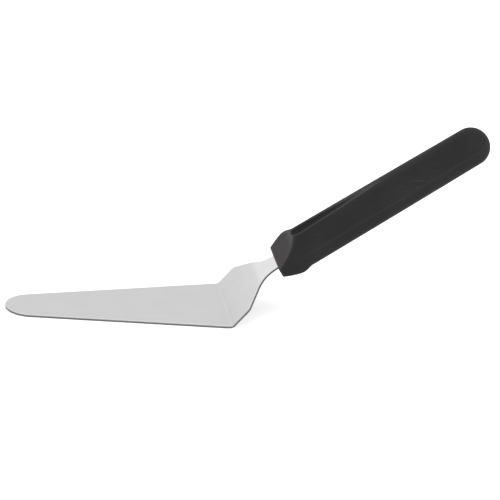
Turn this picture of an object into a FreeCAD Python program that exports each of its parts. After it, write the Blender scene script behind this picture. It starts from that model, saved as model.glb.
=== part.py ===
import FreeCAD, Part
import math
import os
from BOPTools import SplitAPI

# Offset palette knife: one stamped steel sheet (tapered blade, crank, neck, hidden tang)
# with a plastic handle moulded over the tang.
# Millimetres. +X runs from the blade's tip towards the handle, +Y across the blade, +Z up.
# The origin is under the middle of the whole knife, on the blade's flat underside.

# ---- driving dimensions: steel ----
SHEET = 1.5               # thickness of the stamped sheet
BLADE_LENGTH = 117.0      # tip to heel bend
HEEL_WIDTH = 58.6         # across the heel, and the riser's width
EDGE_FLARE = 8.5          # each edge opens from the centre line as far as the heel, degrees
CRANK_ANGLE = 49.6        # riser above the blade, degrees
HEEL_BEND_RADIUS = 3.25   # to the middle of the sheet
RISER_LENGTH = 23.9       # heel bend corner to neck bend corner
NECK_BEND_RADIUS = 13.0   # to the middle of the sheet
HANDLE_PITCH = 33.4       # neck, tang and handle above the blade, degrees
NECK_LENGTH = 12.6        # neck bend corner to the handle's front face
HEEL_CORNER = 1.4         # the flared edges turn parallel this far before the heel bend
HEEL_EASE = 12.0          # radius of that turn
SHOULDER_AT = 14.2        # the riser's sides run parallel this far past the heel, measured flat
SHOULDER_RADIUS = 3.0
TAPER_ANGLE = 51.0        # shoulders close in at this angle to the centre line, degrees
NECK_WIDTH = 16.0         # at the handle, and along the tang hidden inside it
NECK_FILLET = 12.0        # the taper sweeps into the neck on this radius
TANG_LENGTH = 86.0
TANG_CORNER = 4.0
LOCK_HOLE_RADIUS = 3.5    # plastic fills these holes and locks the handle on
LOCK_HOLES_AT = (30.0, 62.0)
ARRIS = 0.3               # rounding of the sheet's long edges

# ---- driving dimensions: handle, u along its axis from the front face ----
HANDLE_LENGTH = 129.9
COLLAR_HALF_WIDTH_FRONT = 16.0
COLLAR_HALF_WIDTH_REAR = 15.2
COLLAR_HALF_HEIGHT = 9.2
COLLAR_END = 10.8         # where the collar's widest part stops
COLLAR_STEP = 4.6         # length over which it steps down to the grip
FACE_TOP = 2.3            # front face reaches this far above the axis
FACE_BOTTOM = 2.8         # and this far below it
TOP_RAMP = 28.0           # the collar's upper ramp, degrees to the axis
BOTTOM_RAMP = 26.0
COLLAR_SQUARENESS = 4.2   # section exponent: 2 is an ellipse, higher is boxier
GRIP_HALF_WIDTH = 12.8
GRIP_HALF_HEIGHT = 10.1
GRIP_SQUARENESS = 2.5
BUTT_HALF_WIDTH = 12.6
BUTT_HALF_HEIGHT = 9.9
BUTT_CAP = 10.2           # length of the rounded butt
BUTT_START = HANDLE_LENGTH - BUTT_CAP
SCALLOP_RADIUS = 16.0     # thumb scallop in the top of the grip
SCALLOP_START = 19.5      # centre of its round front end
SCALLOP_LENGTH = 41.0
SCALLOP_DEPTH = 1.1
MOULD_EDGE = 0.5          # rounding of the collar's corners

WIDE = 50.0               # half width of the sheet before trimming


def radians(angle):
    return math.radians(angle)


# ---- the bent centre line of the sheet ----
HEEL_TANGENT = HEEL_BEND_RADIUS * math.tan(radians(CRANK_ANGLE) / 2.0)
NECK_TURN = CRANK_ANGLE - HANDLE_PITCH
NECK_TANGENT = NECK_BEND_RADIUS * math.tan(radians(NECK_TURN) / 2.0)
S_RISER = HEEL_BEND_RADIUS * radians(CRANK_ANGLE)
S_NECK_BEND = S_RISER + RISER_LENGTH - HEEL_TANGENT - NECK_TANGENT
S_NECK = S_NECK_BEND + NECK_BEND_RADIUS * radians(NECK_TURN)
S_HANDLE = S_NECK + NECK_LENGTH - NECK_TANGENT
S_TANG_END = S_HANDLE + TANG_LENGTH
S_TIP = HEEL_TANGENT - BLADE_LENGTH


def heading(angle):
    a = radians(angle)
    return FreeCAD.Vector(math.cos(a), 0, math.sin(a))


def normal(angle):
    a = radians(angle)
    return FreeCAD.Vector(-math.sin(a), 0, math.cos(a))


HEEL_START = FreeCAD.Vector(-HEEL_TANGENT, 0, SHEET / 2.0)
RISER_START = FreeCAD.Vector(0, 0, SHEET / 2.0) + heading(CRANK_ANGLE) * HEEL_TANGENT
NECK_CORNER = FreeCAD.Vector(0, 0, SHEET / 2.0) + heading(CRANK_ANGLE) * RISER_LENGTH
NECK_BEND_START = NECK_CORNER - heading(CRANK_ANGLE) * NECK_TANGENT
NECK_START = NECK_CORNER + heading(HANDLE_PITCH) * NECK_TANGENT
HANDLE_FRONT = NECK_CORNER + heading(HANDLE_PITCH) * NECK_LENGTH


def along(s):
    """Centre-line point and slope of the sheet, s being the flat length past the heel bend's start."""
    if s <= 0:
        return HEEL_START + FreeCAD.Vector(s, 0, 0), 0.0
    if s <= S_RISER:
        slope = CRANK_ANGLE * s / S_RISER
        centre = HEEL_START + FreeCAD.Vector(0, 0, HEEL_BEND_RADIUS)
        return centre - normal(slope) * HEEL_BEND_RADIUS, slope
    if s <= S_NECK_BEND:
        return RISER_START + heading(CRANK_ANGLE) * (s - S_RISER), CRANK_ANGLE
    if s <= S_NECK:
        slope = CRANK_ANGLE - NECK_TURN * (s - S_NECK_BEND) / (S_NECK - S_NECK_BEND)
        centre = NECK_BEND_START - normal(CRANK_ANGLE) * NECK_BEND_RADIUS
        return centre + normal(slope) * NECK_BEND_RADIUS, slope
    return NECK_START + heading(HANDLE_PITCH) * (s - S_NECK), HANDLE_PITCH


def on_sheet(s, y, lift):
    """Point at flat length s and sideways distance y, lifted off the sheet's middle surface."""
    point, slope = along(s)
    return point + normal(slope) * lift + FreeCAD.Vector(0, y, 0)


# ---- the sheet before trimming: its bent side profile, extruded sideways ----
def sheet_edges(lift):
    """The side profile at one lift, from in front of the tip to past the end of the tang."""
    def point(s):
        return on_sheet(s, -WIDE, lift)

    edges = [Part.makeLine(point(S_TIP - 5.0), point(0))]
    edges.append(Part.Arc(point(0), point(S_RISER / 2.0), point(S_RISER)).toShape())
    edges.append(Part.makeLine(point(S_RISER), point(S_NECK_BEND)))
    middle = (S_NECK_BEND + S_NECK) / 2.0
    edges.append(Part.Arc(point(S_NECK_BEND), point(middle), point(S_NECK)).toShape())
    edges.append(Part.makeLine(point(S_NECK), point(S_TANG_END + 5.0)))
    return edges


def bent_slab():
    lower = sheet_edges(-SHEET / 2.0)
    upper = sheet_edges(SHEET / 2.0)
    front = Part.makeLine(lower[0].Vertexes[0].Point, upper[0].Vertexes[0].Point)
    back = Part.makeLine(lower[-1].Vertexes[-1].Point, upper[-1].Vertexes[-1].Point)
    outline = Part.Wire(Part.__sortEdges__(lower + upper + [front, back]))
    return Part.Face(outline).extrude(FreeCAD.Vector(0, 2.0 * WIDE, 0))


# ---- the stamped outline, one side, as (s, y) in the flat ----
FLARE = math.tan(radians(EDGE_FLARE))
TAPER = math.tan(radians(TAPER_ANGLE))
TIP_HALF_WIDTH = HEEL_WIDTH / 2.0 + (S_TIP + HEEL_CORNER) * FLARE
TIP_RADIUS = TIP_HALF_WIDTH * math.cos(radians(EDGE_FLARE)) / (1.0 - math.sin(radians(EDGE_FLARE)))
TIP_CENTRE = S_TIP + TIP_RADIUS


def corner_arc(before, corner, after, radius):
    """Tangent points and middle of an arc of the given radius that rounds a corner in the flat."""
    a = FreeCAD.Vector(before[0] - corner[0], before[1] - corner[1], 0).normalize()
    b = FreeCAD.Vector(after[0] - corner[0], after[1] - corner[1], 0).normalize()
    half = a.getAngle(b) / 2.0
    c = FreeCAD.Vector(corner[0], corner[1], 0)
    start = c + a * (radius / math.tan(half))
    end = c + b * (radius / math.tan(half))
    bisector = (a + b).normalize()
    middle = c + bisector * (radius / math.sin(half) - radius)
    return (start.x, start.y), (middle.x, middle.y), (end.x, end.y)


def side_outline():
    """The outline on the +Y side, as lines (two points) and arcs (three points), tip to tang end."""
    tip = (S_TIP, 0.0)
    tip_middle_angle = radians(90.0 + EDGE_FLARE) / 2.0
    tip_middle = (
        TIP_CENTRE - TIP_RADIUS * math.cos(tip_middle_angle),
        TIP_RADIUS * math.sin(tip_middle_angle),
    )
    tip_end = (
        TIP_CENTRE - TIP_RADIUS * math.sin(radians(EDGE_FLARE)),
        TIP_RADIUS * math.cos(radians(EDGE_FLARE)),
    )
    heel = (-HEEL_CORNER, HEEL_WIDTH / 2.0)
    shoulder = (SHOULDER_AT, HEEL_WIDTH / 2.0)
    neck_in = (shoulder[0] + (shoulder[1] - NECK_WIDTH / 2.0) / TAPER, NECK_WIDTH / 2.0)
    tang_corner = (S_TANG_END, NECK_WIDTH / 2.0)
    tang_end = (S_TANG_END, 0.0)
    round_heel = corner_arc(tip_end, heel, shoulder, HEEL_EASE)
    round_shoulder = corner_arc(heel, shoulder, neck_in, SHOULDER_RADIUS)
    round_neck = corner_arc(shoulder, neck_in, tang_corner, NECK_FILLET)
    round_tang = corner_arc(neck_in, tang_corner, tang_end, TANG_CORNER)
    return [
        (tip, tip_middle, tip_end),
        (tip_end, round_heel[0]),
        round_heel,
        (round_heel[2], round_shoulder[0]),
        round_shoulder,
        (round_shoulder[2], round_neck[0]),
        round_neck,
        (round_neck[2], round_tang[0]),
        round_tang,
        (round_tang[2], tang_end),
    ]


def split_at_bends(start, end):
    """Cut a straight outline piece where it crosses into or out of a bend."""
    marks = [s for s in (0.0, S_RISER, S_NECK_BEND, S_NECK) if start[0] < s < end[0]]
    points = [start]
    for s in marks:
        share = (s - start[0]) / (end[0] - start[0])
        points.append((s, start[1] + share * (end[1] - start[1])))
    points.append(end)
    return list(zip(points[:-1], points[1:]))


def in_bend(s):
    return 0.0 < s < S_RISER or S_NECK_BEND < s < S_NECK


def sheet_curve(piece, side, lift):
    """One outline piece carried onto the bent sheet at the given lift."""
    if len(piece) == 3:
        points = [on_sheet(s, side * y, lift) for s, y in piece]
        return Part.Arc(*points).toShape()
    (s0, y0), (s1, y1) = piece
    if not in_bend((s0 + s1) / 2.0):
        return Part.makeLine(on_sheet(s0, side * y0, lift), on_sheet(s1, side * y1, lift))
    points = []
    for k in range(9):
        share = k / 8.0
        points.append(on_sheet(s0 + share * (s1 - s0), side * (y0 + share * (y1 - y0)), lift))
    curve = Part.BSplineCurve()
    curve.interpolate(points)
    return curve.toShape()


def outline_curtain():
    """The stamped outline as a curtain of faces standing square to the sheet everywhere."""
    pieces = []
    for piece in side_outline():
        if len(piece) == 3:
            pieces.append(piece)
        else:
            pieces.extend(split_at_bends(piece[0], piece[1]))
    faces = []
    for side in (1, -1):
        for piece in pieces:
            below = sheet_curve(piece, side, -SHEET)
            above = sheet_curve(piece, side, SHEET)
            faces.append(Part.makeRuledSurface(below, above))
    return Part.makeShell(faces)


def sheet_solid():
    cut = SplitAPI.slice(bent_slab(), [outline_curtain()], "Split")
    inside = on_sheet(-BLADE_LENGTH / 2.0, 0, 0)
    solid = [s for s in cut.Solids if s.isInside(inside, 0.01, False)][0]
    for distance in LOCK_HOLES_AT:
        start = on_sheet(S_HANDLE + distance, 0, -SHEET)
        drill = Part.makeCylinder(LOCK_HOLE_RADIUS, 2.0 * SHEET, start, normal(HANDLE_PITCH))
        solid = solid.cut(drill)
    return solid.Solids[0]


def is_long_edge(edge):
    """True for the visible sheet's stamped outline, on either face of the sheet."""
    length = edge.Length
    middle = edge.valueAt((edge.FirstParameter + edge.LastParameter) / 2.0)
    first = edge.Vertexes[0].Point
    last = edge.Vertexes[-1].Point
    reach = (middle - HANDLE_FRONT).dot(heading(HANDLE_PITCH))
    runs_across = abs(first.y + last.y) < 0.01 and abs(first.y) > 1.0
    runs_through = abs(first.y - last.y) < 0.01 and abs(length - SHEET) < 0.02
    return reach < 0 and not runs_across and not runs_through


def blade():
    solid = sheet_solid()
    edges = [edge for edge in solid.Edges if is_long_edge(edge)]
    return solid.makeFillet(ARRIS, edges).Solids[0]


# ---- handle, built with its axis along +X and its front face at x = 0 ----
def section(u, half_width, half_height, squareness):
    """A closed curve |y/half_width|^n + |z/half_height|^n = 1 across the handle at u."""
    points = []
    count = 32
    for k in range(count):
        a = 2.0 * math.pi * k / count
        c, s = math.cos(a), math.sin(a)
        y = half_width * math.copysign(abs(c) ** (2.0 / squareness), c)
        z = half_height * math.copysign(abs(s) ** (2.0 / squareness), s)
        points.append(FreeCAD.Vector(u, y, z))
    curve = Part.BSplineCurve()
    curve.interpolate(points, PeriodicFlag=True)
    return Part.Wire(curve.toShape())


def grip_section(u):
    """The grip's section at u: squarish near the collar, an ellipse where the butt begins."""
    share = (u - COLLAR_END - COLLAR_STEP) / (BUTT_START - COLLAR_END - COLLAR_STEP)
    fall = share ** 2
    half_width = GRIP_HALF_WIDTH + fall * (BUTT_HALF_WIDTH - GRIP_HALF_WIDTH)
    half_height = GRIP_HALF_HEIGHT + fall * (BUTT_HALF_HEIGHT - GRIP_HALF_HEIGHT)
    return section(u, half_width, half_height, GRIP_SQUARENESS - share * (GRIP_SQUARENESS - 2.0))


def handle_skin():
    """The closed outside of the handle before its ramps and scallop are cut."""
    face = section(0.0, COLLAR_HALF_WIDTH_FRONT, COLLAR_HALF_HEIGHT, COLLAR_SQUARENESS)
    rim = section(COLLAR_END, COLLAR_HALF_WIDTH_REAR, COLLAR_HALF_HEIGHT, COLLAR_SQUARENESS)
    root = COLLAR_END + COLLAR_STEP
    stations = 8
    grip = [grip_section(root + k * (BUTT_START - root) / stations) for k in range(stations + 1)]
    butt = [grip[-1]]
    for degrees in (15, 30, 45, 60, 75):
        u = BUTT_START + BUTT_CAP * math.sin(radians(degrees))
        shrink = math.cos(radians(degrees))
        butt.append(section(u, BUTT_HALF_WIDTH * shrink, BUTT_HALF_HEIGHT * shrink, 2.0))
    butt.append(Part.Vertex(HANDLE_LENGTH, 0, 0))
    faces = [Part.Face(face)]
    faces.extend(Part.makeLoft([face, rim], False, True).Faces)
    faces.extend(Part.makeLoft([rim, grip[0]], False, True).Faces)
    faces.extend(Part.makeLoft(grip, False, False).Faces)
    faces.extend(Part.makeLoft(butt, False, False).Faces)
    shell = Part.makeShell(faces)
    shell.sewShape()
    return Part.Solid(shell)


def ramp_cut(start, angle, sign):
    """The wedge of material taken off above (sign 1) or below (sign -1) to leave a ramp."""
    rise = math.tan(radians(angle))
    reach = 40.0
    points = [
        FreeCAD.Vector(-5.0, -WIDE, sign * (start - 5.0 * rise)),
        FreeCAD.Vector(reach, -WIDE, sign * (start + reach * rise)),
        FreeCAD.Vector(-5.0, -WIDE, sign * (start + reach * rise)),
    ]
    return Part.Face(Part.makePolygon(points + [points[0]])).extrude(FreeCAD.Vector(0, 2.0 * WIDE, 0))


def scallop_cut():
    """A ball-ended cylinder lying along the top of the grip, rising clear of it towards the butt."""
    height = GRIP_HALF_HEIGHT + SCALLOP_RADIUS - SCALLOP_DEPTH
    centre = FreeCAD.Vector(SCALLOP_START, 0, height)
    axis = FreeCAD.Vector(SCALLOP_LENGTH, 0, SCALLOP_DEPTH)
    ball = Part.makeSphere(SCALLOP_RADIUS, centre)
    rod = Part.makeCylinder(SCALLOP_RADIUS, SCALLOP_LENGTH * 1.5, centre, axis)
    return ball.fuse(rod)


def soften(solid, radius, chosen):
    edges = [edge for edge in solid.Edges if not edge.Degenerated and chosen(edge.BoundBox)]
    return solid.makeFillet(radius, edges).Solids[0]


def on_collar(box):
    """Corners of the collar's face, ramps and rear rim."""
    return box.XMax < COLLAR_END + 0.1


def handle(steel):
    solid = handle_skin()
    solid = solid.cut(ramp_cut(FACE_TOP, TOP_RAMP, 1))
    solid = solid.cut(ramp_cut(FACE_BOTTOM, BOTTOM_RAMP, -1))
    solid = soften(solid.Solids[0], MOULD_EDGE, on_collar)
    solid = solid.cut(scallop_cut())
    solid.rotate(FreeCAD.Vector(), FreeCAD.Vector(0, 1, 0), -HANDLE_PITCH)
    solid.translate(HANDLE_FRONT)
    return solid.cut(steel).Solids[0]


def main():
    steel = blade()
    plastic = handle(steel)
    box = steel.optimalBoundingBox()
    box.add(plastic.optimalBoundingBox())
    shift = FreeCAD.Vector(-(box.XMin + box.XMax) / 2.0, 0, 0)
    os.makedirs("parts", exist_ok=True)
    for name, shape in (("blade", steel), ("handle", plastic)):
        shape.translate(shift)
        shape.exportStep("parts/" + name + ".step")
        print(name, shape.isValid(), round(shape.Volume / 1000.0, 2), "cm3", shape.BoundBox)


main()
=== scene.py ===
import math

import bpy
import numpy as np
from mathutils import Matrix, Vector


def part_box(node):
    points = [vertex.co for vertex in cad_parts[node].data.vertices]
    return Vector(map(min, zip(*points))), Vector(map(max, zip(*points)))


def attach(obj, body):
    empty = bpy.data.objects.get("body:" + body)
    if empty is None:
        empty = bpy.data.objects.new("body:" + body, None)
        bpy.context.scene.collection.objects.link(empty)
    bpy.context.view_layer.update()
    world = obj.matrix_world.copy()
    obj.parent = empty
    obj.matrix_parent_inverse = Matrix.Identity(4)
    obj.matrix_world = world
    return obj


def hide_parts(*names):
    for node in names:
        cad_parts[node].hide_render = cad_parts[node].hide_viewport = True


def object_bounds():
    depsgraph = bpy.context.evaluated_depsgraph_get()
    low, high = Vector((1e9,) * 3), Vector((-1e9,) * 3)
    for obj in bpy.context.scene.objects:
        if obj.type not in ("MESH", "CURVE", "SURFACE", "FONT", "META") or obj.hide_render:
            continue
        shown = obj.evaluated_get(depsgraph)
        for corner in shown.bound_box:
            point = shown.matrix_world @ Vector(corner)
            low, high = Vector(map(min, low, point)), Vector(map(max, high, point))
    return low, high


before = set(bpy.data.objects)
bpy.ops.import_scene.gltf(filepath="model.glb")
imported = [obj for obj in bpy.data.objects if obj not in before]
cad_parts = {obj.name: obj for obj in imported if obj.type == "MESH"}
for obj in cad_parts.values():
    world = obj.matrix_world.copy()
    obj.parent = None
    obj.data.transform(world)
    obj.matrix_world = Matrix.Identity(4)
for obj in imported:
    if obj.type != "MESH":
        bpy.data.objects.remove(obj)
cad_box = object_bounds()
MM = 0.001

# Offset palette knife: a satin steel blade, cranked up through its neck into a black moulded handle.

# ---- the steel's sizes, in millimetres and degrees ----
SHEET = 1.5
BLADE_LENGTH = 117.0      # tip to heel bend
CRANK_ANGLE = 49.6        # riser above the blade
HEEL_BEND_RADIUS = 3.25
RISER_LENGTH = 23.9
NECK_BEND_RADIUS = 13.0
HANDLE_PITCH = 33.4       # neck and handle above the blade

# ---- the handle's sizes, in millimetres and degrees, u along its axis from the front face ----
HANDLE_LENGTH = 129.9
BUTT_CAP = 10.2
BUTT_START = HANDLE_LENGTH - BUTT_CAP
COLLAR_END = 10.8
GRIP_START = 15.4
COLLAR_HALF_WIDTHS = (16.0, 15.2)
COLLAR_HALF_HEIGHT = 9.2
COLLAR_SQUARENESS = 4.2   # section exponent: 2 is an ellipse, higher is boxier
GRIP_HALF_WIDTH = 12.8
GRIP_HALF_HEIGHT = 10.1
GRIP_SQUARENESS = 2.5
BUTT_HALF_WIDTH = 12.6
BUTT_HALF_HEIGHT = 9.9
FACE_TOP = 2.3
FACE_BOTTOM = 2.8
TOP_RAMP = 28.0
BOTTOM_RAMP = 26.0
SCALLOP_RADIUS = 16.0
SCALLOP_START = 19.5
SCALLOP_LENGTH = 41.0
SCALLOP_DEPTH = 1.1
MOULD_EDGE = 0.6          # band over which the collar's corners are rounded
SCALLOP_EDGE = 0.8        # band over which the thumb scallop's rim is rounded
STEP_TOP_EDGE = 0.8       # band over which the collar's rear corner is rounded
STEP_FOOT_EDGE = 0.7      # band over which the foot of the step to the grip is rounded

# ---- where the handle's finish and its painted light and shade change, as gaps between surface distances, in millimetres ----
WEAR_BAND = 0.7           # rubbed strip beside a corner
SCALLOP_WEAR_BAND = 0.22  # the same beside the scallop's rim, which is shallow
RAMP_FADE = 0.4           # the upper ramp's painted light fades out over this
SCALLOP_FADE = 0.1        # the scallop's painted shade and matt finish fade out over this

# ---- the handle's mesh: rings along u, in millimetres, and points round each ----
LIP_LENGTH = 1.3 * MOULD_EDGE  # rings lie closest up to here, round the front face's rim
LIP_RINGS = 10
COLLAR_RING_STEP = 0.2
COLLAR_RINGS_END = 18.0
SCALLOP_RING_STEP = 0.8
SCALLOP_RINGS_END = 66.0
GRIP_RINGS = 32
CAP_RINGS = 30
POINTS_AROUND = 280
BEYOND_SKIN = 20.0        # farther from the axis than any point of the skin
HALVINGS = 36             # of the stretch in which a point is sought
FACE_RING_SHARES = (0.02, 0.3, 0.6, 0.85, 0.96, 0.99)  # of the front face's outline

# ---- the camera: degrees, then metres, with its lens in millimetres ----
CAMERA_AZIMUTH = -9.6
CAMERA_ELEVATION = 21.4
CAMERA_ROLL = 3.72
CAMERA_LENS = 204.9
CAMERA_DISTANCE = 1.5
LOOK_AT = Vector((-0.0010, 0.0, 0.0500))
SLIDE_RIGHT = 0.00185
SLIDE_UP = -0.0161


# ================================================================ shader helpers ====
def put(tree, kind, values, **settings):
    """Add a node, set its options, then join or set its inputs, given in order or by name."""
    node = tree.nodes.new(kind)
    for setting, value in settings.items():
        setattr(node, setting, value)
    named = values.items() if isinstance(values, dict) else enumerate(values)
    for key, value in named:
        if isinstance(value, bpy.types.NodeSocket):
            tree.links.new(value, node.inputs[key])
        else:
            node.inputs[key].default_value = value
    return node


def calc(tree, operation, *values):
    """The result of one arithmetic step on values or sockets."""
    return put(tree, "ShaderNodeMath", values, operation=operation).outputs[0]


def spread(tree, value, low, high, to_low=0.0, to_high=1.0, ease="LINEAR"):
    """Carry a value from the range low..high onto to_low..to_high, held at both ends."""
    values = (value, low, high, to_low, to_high)
    return put(tree, "ShaderNodeMapRange", values, interpolation_type=ease).outputs[0]


def stretched(tree, vector, per_metre, turn=0.0):
    """Scale a position by repeats per metre along X, Y and Z, after a turn about Z in degrees."""
    turned = put(
        tree, "ShaderNodeVectorRotate", {"Vector": vector, "Angle": math.radians(turn)},
        rotation_type="Z_AXIS",
    ).outputs[0]
    values = {0: turned, 1: per_metre}
    return put(tree, "ShaderNodeVectorMath", values, operation="MULTIPLY").outputs[0]


def noise(tree, vector, detail=2.0, roughness=0.5):
    """A cloudy pattern about 0.5, one cloud to each unit of the vector."""
    values = {"Vector": vector, "Scale": 1.0, "Detail": detail, "Roughness": roughness}
    return put(tree, "ShaderNodeTexNoise", values).outputs[0]


def blend_colour(tree, share, first, second):
    """The first colour where share is 0, the second where it is 1."""
    values = {0: share, 6: first, 7: second}
    return put(tree, "ShaderNodeMix", values, data_type="RGBA").outputs[2]


def new_group(name, inputs, outputs):
    """A shader node group with named sockets; gives the group, its incoming and outgoing ends."""
    group = bpy.data.node_groups.new(name, "ShaderNodeTree")
    for label, kind, value in inputs:
        socket = group.interface.new_socket(label, in_out="INPUT", socket_type=kind)
        if value is not None:
            socket.default_value = value
    for label in outputs:
        group.interface.new_socket(label, in_out="OUTPUT", socket_type="NodeSocketFloat")
    start = group.nodes.new("NodeGroupInput")
    end = group.nodes.new("NodeGroupOutput")
    return group, start.outputs, end.inputs


def place_group(tree, group, **values):
    """Put a group in a material and set or join its inputs by name; gives its outputs."""
    node = tree.nodes.new("ShaderNodeGroup")
    node.node_tree = group
    for label, value in values.items():
        socket = node.inputs[label.replace("_", " ").capitalize()]
        if isinstance(value, bpy.types.NodeSocket):
            tree.links.new(value, socket)
        else:
            socket.default_value = value
    return node.outputs


# ================================================================ shared surface effects ====
def blotches_group():
    """Soft uneven patches, as handling leaves on any surface: 0 to 1, about half at the middle."""
    inputs = (("Position", "NodeSocketVector", None), ("Per metre", "NodeSocketFloat", 60.0))
    group, given, result = new_group("soft_blotches", inputs, ("Patch",))
    scaled = put(group, "ShaderNodeVectorMath", {0: given[0], 3: given[1]}, operation="SCALE")
    cloud = noise(group, scaled.outputs[0], 4.0, 0.55)
    group.links.new(spread(group, cloud, 0.3, 0.7), result[0])
    return group


def scuffs_group():
    """Sparse hairline scuffs: two noises drawn out into lines, turned apart, kept at their peaks."""
    inputs = (("Position", "NodeSocketVector", None), ("Lines per metre", "NodeSocketFloat", 1800.0))
    group, given, result = new_group("hairline_scuffs", inputs, ("Scuff",))
    lines = []
    for turn, length in ((11.0, 0.012), (-23.0, 0.02)):
        drawn_out = stretched(group, given[0], (length, 1.0, 0.3), turn)
        scaled = put(group, "ShaderNodeVectorMath", {0: drawn_out, 3: given[1]}, operation="SCALE")
        lines.append(spread(group, noise(group, scaled.outputs[0], 1.0), 0.69, 0.76))
    both = calc(group, "MAXIMUM", lines[0], lines[1])
    here = put(group, "ShaderNodeVectorMath", {0: given[0], 3: 45.0}, operation="SCALE").outputs[0]
    where = spread(group, noise(group, here, 2.0), 0.48, 0.62)
    group.links.new(calc(group, "MULTIPLY", both, where), result[0])
    return group


# ================================================================ steel ====
def brushed_grain_group():
    """Satin grain drawn out along the sheet: hairlines, and wider faint streaks across the blade."""
    group, given, result = new_group(
        "brushed_grain", (("Position", "NodeSocketVector", None),), ("Hairline", "Streak")
    )
    hairline = noise(group, stretched(group, given[0], (45.0, 5200.0, 45.0)), 3.0, 0.6)
    streak = noise(group, stretched(group, given[0], (9.0, 700.0, 9.0)), 3.0, 0.6)
    group.links.new(spread(group, hairline, 0.25, 0.75), result[0])
    group.links.new(spread(group, streak, 0.3, 0.7), result[1])
    return group


def height_over(tree, place, x, z, slope):
    """Distance of a place above the plane through (x, z) that rises at a slope along X."""
    run = calc(tree, "MULTIPLY", calc(tree, "SUBTRACT", place[0], x), math.sin(slope))
    rise = calc(tree, "MULTIPLY", calc(tree, "SUBTRACT", place[2], z), math.cos(slope))
    return calc(tree, "SUBTRACT", rise, run)


def sheet_sides_group():
    """How far a point of the bent sheet is on its sheared side instead of its faces.

    The sheet's slope is 0 along the blade, rises to the crank angle over the heel bend and falls
    to the handle's pitch over the neck bend. Facing is |normal . (-sin slope, 0, cos slope)|: 1 on
    both faces, 0 on the sheared side. Corner peaks on the rounding between the two, and Bend along
    the middle of the heel bend. Depth runs from 0 at the upper face to 1 at the lower one: the
    sheet's mid surface is the lower of the riser's and the neck's planes, or the blade's plane
    where that is higher.
    """
    crank, pitch = math.radians(CRANK_ANGLE), math.radians(HANDLE_PITCH)
    neck_turn = crank - pitch
    heel_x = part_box("blade")[0][0] + BLADE_LENGTH * MM
    heel_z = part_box("blade")[0][2] + SHEET * MM / 2.0
    heel_half = HEEL_BEND_RADIUS * MM * math.tan(crank / 2.0)
    neck_half = NECK_BEND_RADIUS * MM * math.tan(neck_turn / 2.0)
    rise = math.cos(crank)
    neck_x = heel_x + RISER_LENGTH * MM * rise
    neck_z = heel_z + RISER_LENGTH * MM * math.sin(crank)
    neck_end = neck_x + neck_half * math.cos(pitch)
    group, given, result = new_group(
        "sheet_sides",
        (("Position", "NodeSocketVector", None), ("Normal", "NodeSocketVector", None)),
        ("Sheared", "Corner", "Depth", "Bend"),
    )
    place = put(group, "ShaderNodeSeparateXYZ", (given[0],)).outputs
    x = place[0]
    normal = put(group, "ShaderNodeSeparateXYZ", (given[1],)).outputs
    up = spread(group, x, heel_x - heel_half, heel_x + heel_half * rise, 0.0, crank)
    back = spread(group, x, neck_x - neck_half * rise, neck_end, 0.0, neck_turn)
    slope = calc(group, "SUBTRACT", up, back)
    level_part = calc(group, "MULTIPLY", normal[0], calc(group, "SINE", slope))
    upright_part = calc(group, "MULTIPLY", normal[2], calc(group, "COSINE", slope))
    facing = calc(group, "ABSOLUTE", calc(group, "SUBTRACT", upright_part, level_part))
    sheared = spread(group, facing, 0.75, 0.35, 0.0, 1.0, "SMOOTHSTEP")
    leaves_face = spread(group, facing, 0.97, 0.8, 0.0, 1.0, "SMOOTHSTEP")
    leaves_side = spread(group, facing, 0.25, 0.6, 0.0, 1.0, "SMOOTHSTEP")
    group.links.new(sheared, result[0])
    group.links.new(calc(group, "MULTIPLY", leaves_face, leaves_side), result[1])

    over_blade = height_over(group, place, heel_x, heel_z, 0.0)
    over_riser = height_over(group, place, heel_x, heel_z, crank)
    over_neck = height_over(group, place, neck_x, neck_z, pitch)
    over_crank = calc(group, "MAXIMUM", over_riser, over_neck)
    over_sheet = calc(group, "MINIMUM", over_blade, over_crank)
    half = SHEET * MM / 2.0
    group.links.new(spread(group, over_sheet, half, -half), result[2])
    bent_share = calc(group, "DIVIDE", up, crank)
    left_over = calc(group, "SUBTRACT", 1.0, bent_share)
    bend = calc(group, "MULTIPLY", calc(group, "MULTIPLY", bent_share, left_over), 4.0)
    group.links.new(bend, result[3])
    return group


def new_material(name):
    """A new material, its node tree and its shader's inputs."""
    material = bpy.data.materials.new(name)
    material.use_nodes = True
    tree = material.node_tree
    return material, tree, tree.nodes["Principled BSDF"].inputs


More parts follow.
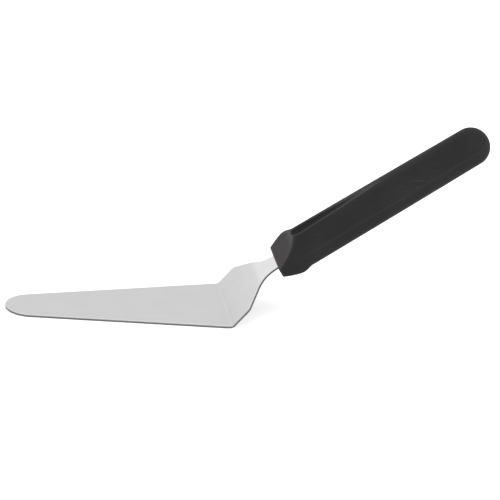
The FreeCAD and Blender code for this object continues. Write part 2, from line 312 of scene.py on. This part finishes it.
def satin_steel(blotches, scuffs):
    """Satin stainless: lengthwise grain, faint smudges and scuffs, and polished upper corners,
    which are also painted brighter, a painted highlight.

    The crank is painted a little lighter the higher it rises, a painted light, and the middle of the
    heel bend is painted darker, a painted shade. The sheared side is painted dark, a painted dark
    reflection, lighter near the upper face, where it is smooth, and darkest towards the lower, where
    it is fractured.
    """
    material, tree, shader = new_material("satin_steel")
    places = tree.nodes.new("ShaderNodeTexCoord").outputs
    position = places["Object"]
    grain = place_group(tree, brushed_grain_group(), position=position)
    smudge = place_group(tree, blotches, position=position, per_metre=55.0)["Patch"]
    scuff = place_group(tree, scuffs, position=position)["Scuff"]
    sides = place_group(tree, sheet_sides_group(), position=position, normal=places["Normal"])
    tear = noise(tree, stretched(tree, position, (1400.0, 1400.0, 260.0)), 3.0, 0.6)

    bright = blend_colour(
        tree, spread(tree, grain["Streak"], 0.0, 1.0, 0.25, 0.75),
        (0.535, 0.536, 0.538, 1.0), (0.567, 0.567, 0.569, 1.0),
    )
    raised = put(tree, "ShaderNodeSeparateXYZ", (position,)).outputs[2]
    # Painted light: the crank is painted lighter the higher it rises.
    rise_painted_lighter = blend_colour(
        tree, spread(tree, raised, 2.0 * MM, 19.0 * MM, 0.0, 0.75), bright, (0.62, 0.62, 0.622, 1.0)
    )
    grained = blend_colour(
        tree, spread(tree, grain["Hairline"], 0.0, 1.0, 0.0, 0.25), rise_painted_lighter, (0.465, 0.465, 0.468, 1.0)
    )
    smudged = blend_colour(
        tree, spread(tree, smudge, 0.0, 1.0, 0.0, 0.16), grained, (0.50, 0.496, 0.487, 1.0)
    )
    scuffed = blend_colour(
        tree, spread(tree, scuff, 0.0, 1.0, 0.0, 0.3), smudged, (0.76, 0.76, 0.765, 1.0)
    )
    # Painted shade: the middle of the heel bend is painted darker.
    bend_painted_darker = blend_colour(
        tree, spread(tree, sides["Bend"], 0.45, 1.0, 0.0, 0.4), scuffed, (0.42, 0.42, 0.423, 1.0)
    )
    # Painted dark reflection: the sheared side is painted dark, lighter near the upper face, darkest
    # near the lower.
    torn_and_shaded = blend_colour(tree, tear, (0.080, 0.080, 0.083, 1.0), (0.165, 0.165, 0.168, 1.0))
    uneven_depth = calc(tree, "MULTIPLY_ADD", tear, 0.16, sides["Depth"])
    rolled = spread(tree, uneven_depth, 0.42, 0.62, 0.0, 1.0, "SMOOTHSTEP")
    cut_side_painted_dark = blend_colour(tree, rolled, (0.34, 0.34, 0.343, 1.0), torn_and_shaded)
    sided = blend_colour(tree, sides["Sheared"], bend_painted_darker, cut_side_painted_dark)
    # Painted highlight: the upper corner is painted brighter, besides its lower roughness.
    upper_corner = calc(
        tree, "MULTIPLY", sides["Corner"], spread(tree, sides["Depth"], 0.6, 0.4, 0.0, 1.0)
    )
    finished = blend_colour(
        tree, spread(tree, upper_corner, 0.0, 1.0, 0.0, 0.8), sided, (0.78, 0.78, 0.785, 1.0)
    )
    tree.links.new(finished, shader["Base Color"])
    shader["Metallic"].default_value = 1.0

    satin = calc(
        tree, "ADD",
        spread(tree, grain["Hairline"], 0.0, 1.0, 0.29, 0.37),
        spread(tree, smudge, 0.0, 1.0, -0.02, 0.05),
    )
    rubbed = calc(tree, "SUBTRACT", satin, spread(tree, scuff, 0.0, 1.0, 0.0, 0.08))
    rougher = calc(tree, "MULTIPLY_ADD", sides["Sheared"], 0.16, rubbed)
    polished = calc(tree, "MULTIPLY_ADD", upper_corner, -0.14, rougher)
    tree.links.new(polished, shader["Roughness"])

    height = calc(
        tree, "ADD",
        calc(tree, "MULTIPLY", grain["Hairline"], 0.5),
        calc(tree, "MULTIPLY", grain["Streak"], 0.25),
    )
    scratched = calc(tree, "MULTIPLY_ADD", scuff, -0.5, height)
    sheared = calc(
        tree, "ADD", scratched,
        calc(tree, "MULTIPLY", calc(tree, "MULTIPLY", tear, sides["Sheared"]), 2.0),
    )
    bump = put(tree, "ShaderNodeBump", {"Strength": 0.18, "Distance": 0.02 * MM, "Height": sheared})
    tree.links.new(bump.outputs[0], shader["Normal"])
    return material


# ================================================================ plastic ====
def black_plastic(blotches, scuffs):
    """Black polypropylene: spark-eroded mould texture, burnished edges, a rubbed grip.

    Along both sides, at the axis, is the faint line where the mould halves met, and a band
    along it is painted a little paler, a painted sheen.
    The thumb scallop is more matt than the rest and painted darker, a painted shade in the hollow,
    and the collar's upper ramp is painted paler and browner, a painted light on that upward facet.
    """
    material, tree, shader = new_material("black_plastic")
    position = tree.nodes.new("ShaderNodeTexCoord").outputs["Object"]
    edge, along, lift, thumb, ramp = (
        put(tree, "ShaderNodeAttribute", {}, attribute_name=layer).outputs["Fac"]
        for layer in ("edge", "along", "lift", "thumb", "ramp")
    )
    patch = place_group(tree, blotches, position=position, per_metre=48.0)["Patch"]
    scuff = place_group(tree, scuffs, position=position, lines_per_metre=1500.0)["Scuff"]
    pits = noise(tree, stretched(tree, position, (3600.0, 3600.0, 3600.0)), 3.0, 0.6)
    waves = noise(tree, stretched(tree, position, (420.0, 420.0, 420.0)), 2.0, 0.5)

    uneven = blend_colour(tree, patch, (0.0166, 0.0162, 0.0163, 1.0), (0.0214, 0.0202, 0.0204, 1.0))
    pitted = blend_colour(
        tree, spread(tree, pits, 0.3, 0.7, 0.0, 0.3), uneven, (0.0120, 0.0118, 0.0118, 1.0)
    )
    off_seam = calc(tree, "ABSOLUTE", lift)
    # Painted sheen: a band along the axis, on both sides, is painted paler.
    axis_painted_sheen = spread(tree, off_seam, 1.2, 0.1, 0.0, 0.2, "SMOOTHSTEP")
    paler = calc(tree, "MULTIPLY", axis_painted_sheen, spread(tree, along, 12.0, 24.0))
    banded = blend_colour(tree, paler, pitted, (0.034, 0.033, 0.033, 1.0))
    # Painted shade: the thumb scallop is painted darker.
    shaded = blend_colour(
        tree, calc(tree, "MULTIPLY", thumb, 0.45), banded, (0.0080, 0.0078, 0.0078, 1.0)
    )
    # Painted light: the collar's upper ramp is painted paler and browner.
    ramp_painted_lighter = blend_colour(
        tree, calc(tree, "MULTIPLY", ramp, 0.9), shaded, (0.036, 0.0318, 0.0330, 1.0)
    )
    worn_share = calc(tree, "MULTIPLY", edge, spread(tree, waves, 0.3, 0.7, 0.45, 0.75))
    worn = blend_colour(tree, worn_share, ramp_painted_lighter, (0.064, 0.060, 0.061, 1.0))
    marked = blend_colour(
        tree, spread(tree, scuff, 0.0, 1.0, 0.0, 0.25), worn, (0.045, 0.044, 0.044, 1.0)
    )
    tree.links.new(marked, shader["Base Color"])
    shader["IOR"].default_value = 1.49
    shader["Specular IOR Level"].default_value = 0.03

    held = calc(
        tree, "MULTIPLY",
        spread(tree, along, 22.0, 45.0, 0.0, 1.0, "SMOOTHSTEP"),
        spread(tree, along, 118.0, 96.0, 0.0, 1.0, "SMOOTHSTEP"),
    )
    base = spread(tree, patch, 0.0, 1.0, 0.46, 0.56)
    matt = calc(tree, "MULTIPLY_ADD", thumb, 0.30, base)
    rubbed = calc(tree, "MULTIPLY_ADD", held, -0.05, matt)
    burnished = calc(tree, "MULTIPLY_ADD", edge, -0.10, rubbed)
    tree.links.new(calc(tree, "MULTIPLY_ADD", scuff, -0.06, burnished), shader["Roughness"])

    seam = spread(tree, off_seam, 0.32, 0.0, 0.0, 1.0, "SMOOTHSTEP")
    on_sides = spread(tree, along, 0.3, 1.2)
    textured = calc(tree, "MULTIPLY", pits, spread(tree, edge, 0.0, 1.0, 1.0, 0.45))
    with_waves = calc(tree, "MULTIPLY_ADD", waves, 0.7, textured)
    with_seam = calc(tree, "MULTIPLY_ADD", calc(tree, "MULTIPLY", seam, on_sides), 1.5, with_waves)
    bump = put(
        tree, "ShaderNodeBump", {"Strength": 0.35, "Distance": 0.04 * MM, "Height": with_seam}
    )
    tree.links.new(bump.outputs[0], shader["Normal"])
    return material


def pale_floor_card(blotches):
    """Matt white card, all but even, and clear from below so that the knife's underside shows."""
    material, tree, shader = new_material("pale_card")
    position = tree.nodes.new("ShaderNodeTexCoord").outputs["Object"]
    patch = place_group(tree, blotches, position=position, per_metre=3.0)["Patch"]
    tint = blend_colour(tree, patch, (0.975, 0.975, 0.975, 1.0), (0.985, 0.985, 0.985, 1.0))
    tree.links.new(tint, shader["Base Color"])
    shader["Roughness"].default_value = 0.95
    shader["Specular IOR Level"].default_value = 0.0
    shader["Emission Color"].default_value = (1.0, 1.0, 1.0, 1.0)
    shader["Emission Strength"].default_value = 0.06
    card = tree.nodes["Principled BSDF"].outputs[0]
    clear = put(tree, "ShaderNodeBsdfTransparent", {}).outputs[0]
    below = tree.nodes.new("ShaderNodeNewGeometry").outputs["Backfacing"]
    seen = put(tree, "ShaderNodeMixShader", (below, card, clear)).outputs[0]
    tree.links.new(seen, tree.nodes["Material Output"].inputs["Surface"])
    return material


# ================================================================ handle surface ====
def smooth_max(a, b, band):
    """The higher of a and b, with the corner where they cross rounded over a band."""
    near = np.maximum(band - np.abs(a - b), 0.0) / band
    return np.maximum(a, b) + near * near * band / 4.0


def smooth_min(a, b, band):
    """The lower of a and b, rounded in the same way."""
    return -smooth_max(-a, -b, band)


def section_size(u):
    """Half width, half height and squareness of the moulding at distance u behind its front face.

    The collar narrows in a straight line, steps down to the grip over a few millimetres, and from
    there the size falls with the square of the distance to the butt, which closes as a half
    ellipsoid: its half sizes shrink by sqrt(1 - t^2), t being the share of the cap passed.
    """
    share = np.clip((u - GRIP_START) / (BUTT_START - GRIP_START), 0.0, 1.0)
    step = np.clip((u - COLLAR_END) / (GRIP_START - COLLAR_END), 0.0, 1.0)
    front, rear = COLLAR_HALF_WIDTHS
    collar = front + (rear - front) * np.minimum(u, COLLAR_END) / COLLAR_END
    slant = rear + (GRIP_HALF_WIDTH - rear) * (u - COLLAR_END) / (GRIP_START - COLLAR_END)
    grip = GRIP_HALF_WIDTH + share ** 2 * (BUTT_HALF_WIDTH - GRIP_HALF_WIDTH)
    width = smooth_min(collar, smooth_max(slant, grip, STEP_FOOT_EDGE), STEP_TOP_EDGE)
    tall = GRIP_HALF_HEIGHT + share ** 2 * (BUTT_HALF_HEIGHT - GRIP_HALF_HEIGHT)
    height = COLLAR_HALF_HEIGHT + step * (tall - COLLAR_HALF_HEIGHT)
    squareness = COLLAR_SQUARENESS + step * (GRIP_SQUARENESS - COLLAR_SQUARENESS)
    squareness = squareness - share * (GRIP_SQUARENESS - 2.0)
    cap = np.clip((u - BUTT_START) / BUTT_CAP, 0.0, 1.0)
    shrink = np.sqrt(1.0 - cap ** 2)
    return width * shrink, height * shrink, squareness


def surface_distances(u, v, w, size):
    """Distances outside each surface that bounds the moulding, negative inside it.

    Side: (g - 1) / |gradient of g| with g = (|v/a|^n + |w/b|^n)^(1/n). Ramps: planes rising from
    the front face. Scallop: its radius less the distance to a ball-ended rod above the grip.
    """
    a, b, n = size
    x, y = np.abs(v) / a + 1e-9, np.abs(w) / b + 1e-9
    g = (x ** n + y ** n) ** (1.0 / n)
    slope = np.hypot(x ** (n - 1.0) / a, y ** (n - 1.0) / b) * g ** (1.0 - n)
    side = (g - 1.0) / slope
    top_angle, bottom_angle = math.radians(TOP_RAMP), math.radians(BOTTOM_RAMP)
    top = (w - FACE_TOP - u * math.tan(top_angle)) * math.cos(top_angle)
    bottom = (-w - FACE_BOTTOM - u * math.tan(bottom_angle)) * math.cos(bottom_angle)
    rod_length = math.hypot(SCALLOP_LENGTH, SCALLOP_DEPTH)
    rod = (SCALLOP_LENGTH / rod_length, SCALLOP_DEPTH / rod_length)
    du, dw = u - SCALLOP_START, w - (GRIP_HALF_HEIGHT + SCALLOP_RADIUS - SCALLOP_DEPTH)
    passed = np.maximum(du * rod[0] + dw * rod[1], 0.0)
    away = np.sqrt((du - passed * rod[0]) ** 2 + v ** 2 + (dw - passed * rod[1]) ** 2)
    return side, top, bottom, SCALLOP_RADIUS - away, -u


def handle_rings():
    """Rings of points round the axis at even angles, each found by halving along its own ray.

    A point is on the skin where the rounded highest of the distances is nought. Also gives how
    near each point is to an edge, exp(-(gap / band)^2) with gap the highest distance less the
    second highest, and whether it is on the upper ramp or in the scallop: 1 where that distance
    is the highest, 0 once it lies a fade below. The scallop is shallow, so its band is narrower.
    """
    quarter = math.pi / 2.0
    lip = LIP_LENGTH * (1.0 - np.cos(np.linspace(0.0, quarter, LIP_RINGS)))
    cap = BUTT_CAP * np.sin(np.linspace(0.0, quarter, CAP_RINGS)[1:-1])
    stations = (
        lip,
        np.arange(lip[-1] + COLLAR_RING_STEP, COLLAR_RINGS_END, COLLAR_RING_STEP),
        np.arange(COLLAR_RINGS_END, SCALLOP_RINGS_END, SCALLOP_RING_STEP),
        np.linspace(SCALLOP_RINGS_END, BUTT_START, GRIP_RINGS),
        BUTT_START + cap,
    )
    u = np.concatenate(stations)[:, None]
    angle = np.linspace(0.0, 2.0 * math.pi, POINTS_AROUND, endpoint=False)[None, :]
    c, s = np.cos(angle), np.sin(angle)
    size = section_size(u)

    def outside(reach):
        side, top, bottom, scallop, front = surface_distances(u, reach * c, reach * s, size)
        highest = smooth_max(side, top, MOULD_EDGE)
        highest = smooth_max(highest, bottom, MOULD_EDGE)
        highest = smooth_max(highest, scallop, SCALLOP_EDGE)
        return smooth_max(highest, front, MOULD_EDGE)

    near = np.zeros((u.size, angle.size))
    far = np.full((u.size, angle.size), BEYOND_SKIN)
    for _ in range(HALVINGS):
        middle = (near + far) / 2.0
        over = outside(middle) > 0.0
        far = np.where(over, middle, far)
        near = np.where(over, near, middle)
    u, v, w = np.broadcast_arrays(u, far * c, far * s)
    distances = surface_distances(u, v, w, size)
    _, top, _, scallop, _ = distances
    second, highest = np.sort(np.stack(distances), axis=0)[-2:]
    band = np.where(scallop >= second, SCALLOP_WEAR_BAND, WEAR_BAND)
    edge = np.exp(-((highest - second) / band) ** 2)
    ramp = np.clip(1.0 - (highest - top) / RAMP_FADE, 0.0, 1.0)
    thumb = np.clip(1.0 - (highest - scallop) / SCALLOP_FADE, 0.0, 1.0)
    return u, v, w, edge, ramp, thumb


def handle_frame():
    """The handle's axis, its upward direction and the middle of its front face, in millimetres.

    The front face lies back along the axis from the centre of the butt's half ellipsoid, which is
    the box's far corner less the reach of that ellipsoid along X and Z when tilted by the pitch.
    """
    c, s = math.cos(math.radians(HANDLE_PITCH)), math.sin(math.radians(HANDLE_PITCH))
    axis, upward = np.array((c, 0.0, s)), np.array((-s, 0.0, c))
    far = np.array(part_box("handle")[1]) / MM
    reach_x = math.hypot(BUTT_CAP * c, BUTT_HALF_HEIGHT * s)
    reach_z = math.hypot(BUTT_CAP * s, BUTT_HALF_HEIGHT * c)
    centre = np.array((far[0] - reach_x, 0.0, far[2] - reach_z))
    return axis, upward, centre - BUTT_START * axis


def closed_skin(name, rings, ends, layers):
    """A mesh from rings of points (ring, point, xyz), shut at both ends by one point each.

    Point k of a ring is joined to point k + 1 (the last to the first) and to point k of the next.
    """
    count, around = rings.shape[:2]
    k = np.arange(around)
    step = (k + 1) % around
    ring = np.arange(count - 1)[:, None] * around
    quads = np.stack((ring + k, ring + step, ring + around + step, ring + around + k), -1)
    first, last = count * around, count * around + 1
    start = np.stack((step, k, np.full(around, first)), -1)
    rear = (count - 1) * around
    end = np.stack((rear + k, rear + step, np.full(around, last)), -1)
    points = np.concatenate((rings.reshape(-1, 3), ends))
    mesh = bpy.data.meshes.new(name)
    faces = quads.reshape(-1, 4).tolist() + start.tolist() + end.tolist()
    mesh.from_pydata(points.tolist(), [], faces)
    mesh.polygons.foreach_set("use_smooth", np.ones(len(mesh.polygons), bool))
    for layer, values in layers.items():
        attribute = mesh.attributes.new(layer, "FLOAT", "POINT")
        attribute.data.foreach_set("value", values.astype(np.float32))
    mesh.update()
    return mesh


def make_handle(material):
    """The moulded handle: a flat front face drawn in as shrinking rings, then the skin's rings."""
    axis, upward, front = handle_frame()
    u, v, w, edge, ramp, thumb = handle_rings()
    shares = np.array(FACE_RING_SHARES)[:, None]
    inner = np.zeros((shares.size, v.shape[1]))
    u, edge, ramp, thumb = (np.concatenate((inner, layer)) for layer in (u, edge, ramp, thumb))
    v, w = np.concatenate((shares * v[0], v)), np.concatenate((shares * w[0], w))
    across = np.array((0.0, 1.0, 0.0))
    rings = front + u[..., None] * axis + v[..., None] * across + w[..., None] * upward
    ends = np.stack((front, front + HANDLE_LENGTH * axis))
    layers = {
        "along": np.concatenate((u.ravel(), (0.0, HANDLE_LENGTH))),
        "lift": np.concatenate((w.ravel(), (0.0, 0.0))),
        "edge": np.concatenate((edge.ravel(), (0.0, 0.0))),
        "ramp": np.concatenate((ramp.ravel(), (0.0, 0.0))),
        "thumb": np.concatenate((thumb.ravel(), (0.0, 0.0))),
    }
    mesh = closed_skin("moulded_handle", rings * MM, ends * MM, layers)
    mesh.materials.append(material)
    piece = bpy.data.objects.new("moulded_handle", mesh)
    bpy.context.scene.collection.objects.link(piece)
    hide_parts("handle")
    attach(piece, "root")
    return piece


def dress(node, material):
    """Put a finished material on a CAD node's own slots."""
    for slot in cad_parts[node].material_slots:
        slot.material = material


# ================================================================ studio ====
def make_floor(material):
    """A flat card just under the knife, left out of reflections, in which its shade looks black."""
    half, z = 3.0, cad_box[0][2] - 0.05 * MM
    corners = [(-half, -half, z), (half, -half, z), (half, half, z), (-half, half, z)]
    mesh = bpy.data.meshes.new("floor")
    mesh.from_pydata(corners, [], [(0, 1, 2, 3)])
    mesh.materials.append(material)
    floor = bpy.data.objects.new("floor", mesh)
    bpy.context.scene.collection.objects.link(floor)
    floor.visible_glossy = False


def make_camera():
    """A long lens well back from the knife, a little above it and turned towards the blade's tip."""
    a, e, r = (math.radians(v) for v in (CAMERA_AZIMUTH, CAMERA_ELEVATION, CAMERA_ROLL))
    back = Vector((math.sin(a) * math.cos(e), -math.cos(a) * math.cos(e), math.sin(e)))
    level = Vector((math.cos(a), math.sin(a), 0.0))
    above = back.cross(level)
    right = level * math.cos(r) + above * math.sin(r)
    up = above * math.cos(r) - level * math.sin(r)
    data = bpy.data.cameras.new("camera")
    data.lens = CAMERA_LENS
    data.sensor_width = 36.0
    data.clip_start = 0.05
    data.clip_end = 20.0
    camera = bpy.data.objects.new("camera", data)
    bpy.context.scene.collection.objects.link(camera)
    place = Matrix((right, up, back)).transposed().to_4x4()
    place.translation = LOOK_AT + back * CAMERA_DISTANCE + right * SLIDE_RIGHT + up * SLIDE_UP
    camera.matrix_world = place
    bpy.context.scene.camera = camera


def area_light(name, place, aim, size, power, mirrored=True):
    """A soft rectangular light at place, turned to face aim; mirrored says if reflections show it."""
    data = bpy.data.lights.new(name, "AREA")
    data.shape = "RECTANGLE"
    data.size, data.size_y = size
    data.energy = power
    light = bpy.data.objects.new(name, data)
    bpy.context.scene.collection.objects.link(light)
    light.location = place
    light.visible_glossy = mirrored
    light.rotation_mode = "QUATERNION"
    light.rotation_quaternion = (Vector(aim) - Vector(place)).to_track_quat("-Z", "Y")


def make_world(strength):
    """An even white sky."""
    world = bpy.data.worlds.new("studio")
    world.use_nodes = True
    background = world.node_tree.nodes["Background"].inputs
    background["Color"].default_value = (1.0, 1.0, 1.0, 1.0)
    background["Strength"].default_value = strength
    bpy.context.scene.world = world


blotches = blotches_group()
scuffs = scuffs_group()
dress("blade", satin_steel(blotches, scuffs))
make_handle(black_plastic(blotches, scuffs))
make_floor(pale_floor_card(blotches))
make_world(1.1)
make_camera()
area_light("overhead_softbox", (0.0, 0.1, 1.4), (0.0, 0.0, 0.0), (2.2, 1.8), 4.0)
area_light("neck_softbox", (-0.8, 1.7, 1.0), (0.0, 0.0, 0.02), (0.7, 0.7), 0.9)
area_light("right_fill", (1.1, -1.1, 0.8), (0.05, 0.0, 0.0), (1.0, 1.0), 15.0, mirrored=False)
area_light("left_fill", (-1.1, -1.1, 0.8), (0.05, 0.0, 0.03), (0.8, 0.8), 6.0, mirrored=False)
bpy.context.scene.view_settings.view_transform = "Standard"
